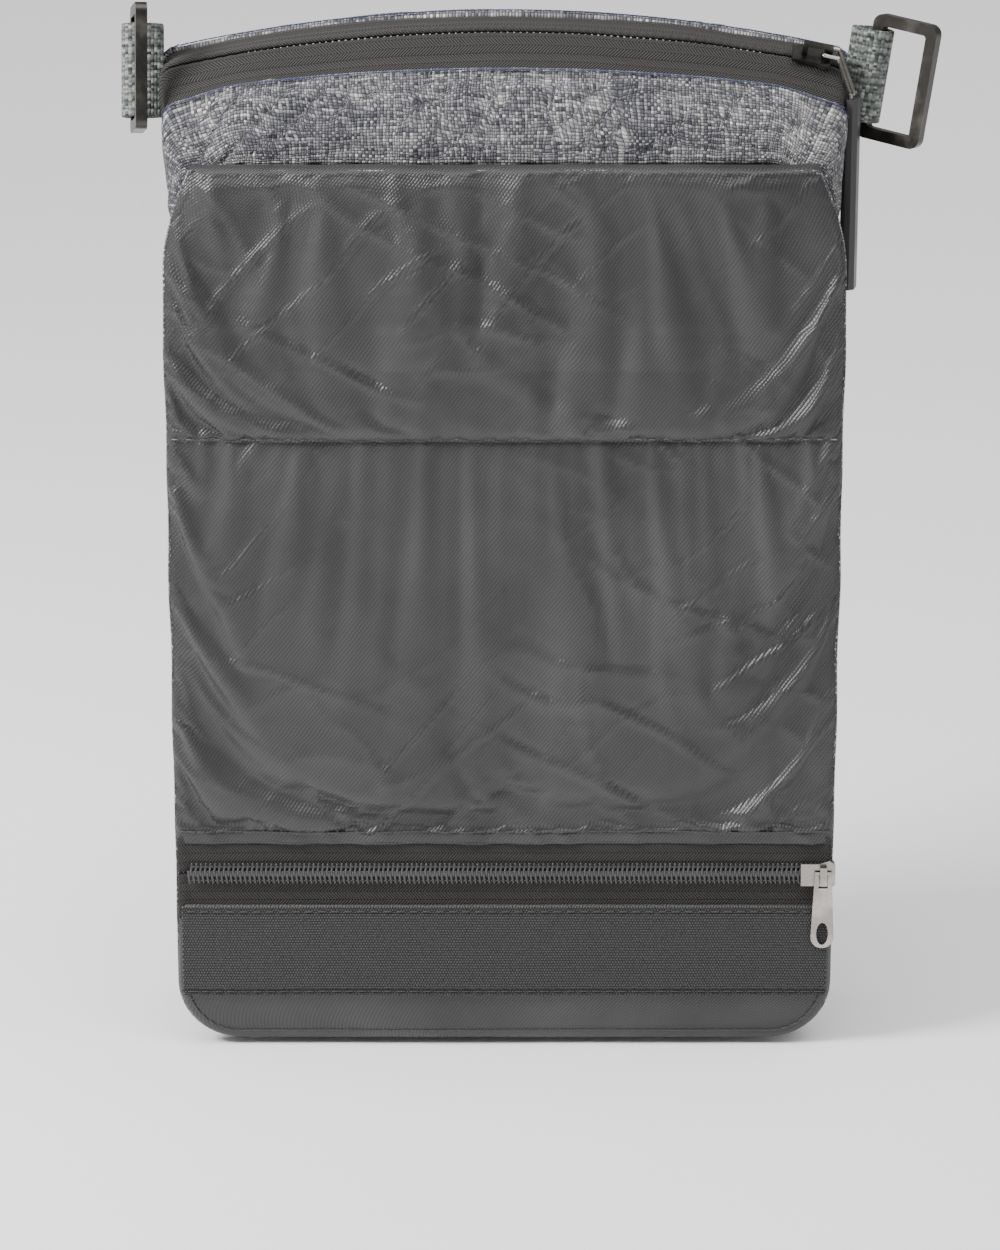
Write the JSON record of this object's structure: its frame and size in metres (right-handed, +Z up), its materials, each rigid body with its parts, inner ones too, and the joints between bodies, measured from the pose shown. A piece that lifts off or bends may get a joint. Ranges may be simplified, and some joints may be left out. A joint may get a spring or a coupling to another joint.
{
  "type": "flap-over mail and messenger bag",
  "caption": "Shoulder mail sack of foam-backed melange cloth: domed zipped top, end rings for a strap, and a long flap thrown open, its zipped pocket and hook strip showing.",
  "frame": {"origin": "centre of the flat base that the bag stands on", "axes": "+Z up; the back of the bag, with the open flap hanging down it, faces -Y; +X runs across the bag, towards the end where the top zip's slider is parked"},
  "size_m": [0.2536, 0.0584, 0.3355],
  "materials": {
    "melange": "two-tone slub weave over thin foam",
    "lining": "charcoal twill nylon, slightly shiny",
    "zip_tape": "herringbone woven tape",
    "zip_coil": "polyester coil",
    "hook_and_loop": "hook-and-loop strip",
    "webbing": "ribbed melange webbing",
    "gunmetal": "satin gunmetal",
    "nickel": "dull nickel",
    "pull_plastic": "moulded, satin",
    "board": "sheet"
  },
  "bodies": {
    "bag": {"back_panel": "melange", "front_panel": "melange", "bottom_gusset": "melange", "side_gusset_left": "melange", "side_gusset_right": "melange", "top_gusset_rear": "melange", "top_gusset_front": "melange", "zip_end_panel_left": "melange", "zip_end_panel_right": "melange", "top_zip_tape_rear": "zip_tape", "top_zip_tape_front": "zip_tape", "top_zip_coil_rear": "zip_coil", "top_zip_coil_front": "zip_coil", "back_padding": "board", "base_board": "board", "main_lining": "lining", "loop_strip": "hook_and_loop", "ring_loop_left": "webbing", "ring_loop_right": "webbing", "top_zip_slider": "gunmetal"},
    "left_ring": {"ring_left": "gunmetal"},
    "right_ring": {"ring_right": "gunmetal"},
    "top_pull": {"top_zip_staple": "gunmetal", "top_zip_pull_bar": "pull_plastic"},
    "flap_root": {"flap_shell_root": "melange", "flap_lining_root": "lining"},
    "flap_top": {"flap_shell_top": "melange", "flap_lining_top": "lining"},
    "flap_front": {"flap_shell_front": "melange", "flap_pocket_backing": "lining", "flap_pocket_panel": "lining", "flap_hem_lining": "lining", "flap_zip_tape_upper": "zip_tape", "flap_zip_tape_lower": "zip_tape", "flap_zip_coil_upper": "zip_coil", "flap_zip_coil_lower": "zip_coil", "hook_strip": "hook_and_loop"},
    "flap_slider": {"flap_zip_slider": "nickel"},
    "flap_puller": {"flap_zip_puller": "nickel"}
  },
  "joints": [
    {"name": "left_ring_swing", "type": "hinge", "parent": "bag", "child": "left_ring", "pos_m": [-0.1144, 0.0062, 0.312], "axis": [0, -0.2707, -0.9626], "range_deg": [-8, 150]},
    {"name": "right_ring_swing", "type": "hinge", "parent": "bag", "child": "right_ring", "pos_m": [0.11431, 0.0062, 0.31069], "axis": [0.1429, 0, 0.9897], "range_deg": [-50, 110]},
    {"name": "top_pull_swing", "type": "hinge", "parent": "bag", "child": "top_pull", "pos_m": [0.09867, -0.00271, 0.3197], "axis": [-0.0814, -0.8984, -0.4317], "range_deg": [0, 65]},
    {"name": "flap_swing", "type": "hinge", "parent": "bag", "child": "flap_root", "pos_m": [0, -0.0275, 0.288], "axis": [-1, 0, 0], "range_deg": [0, 198]},
    {"name": "flap_top_fold", "type": "hinge", "parent": "flap_root", "child": "flap_top", "pos_m": [0, -0.0275, 0.25], "axis": [-1, 0, 0], "range_deg": [0, 58]},
    {"name": "flap_front_fold", "type": "hinge", "parent": "flap_top", "child": "flap_front", "pos_m": [0, -0.0275, 0.203], "axis": [-1, 0, 0], "range_deg": [0, 104]},
    {"name": "flap_zip_slide", "type": "slide", "parent": "flap_front", "child": "flap_slider", "axis": [1, 0, 0], "range_m": [-0.196, 0]},
    {"name": "flap_puller_swing", "type": "hinge", "parent": "flap_slider", "child": "flap_puller", "pos_m": [0.1019, -0.03255, 0.0604], "axis": [1, 0, 0], "range_deg": [-100, 0]}
  ],
  "couplings": [
    {"joint": "flap_top_fold", "follows": "flap_swing", "ratio": 0.29293},
    {"joint": "flap_front_fold", "follows": "flap_swing", "ratio": 0.52525}
  ]
}
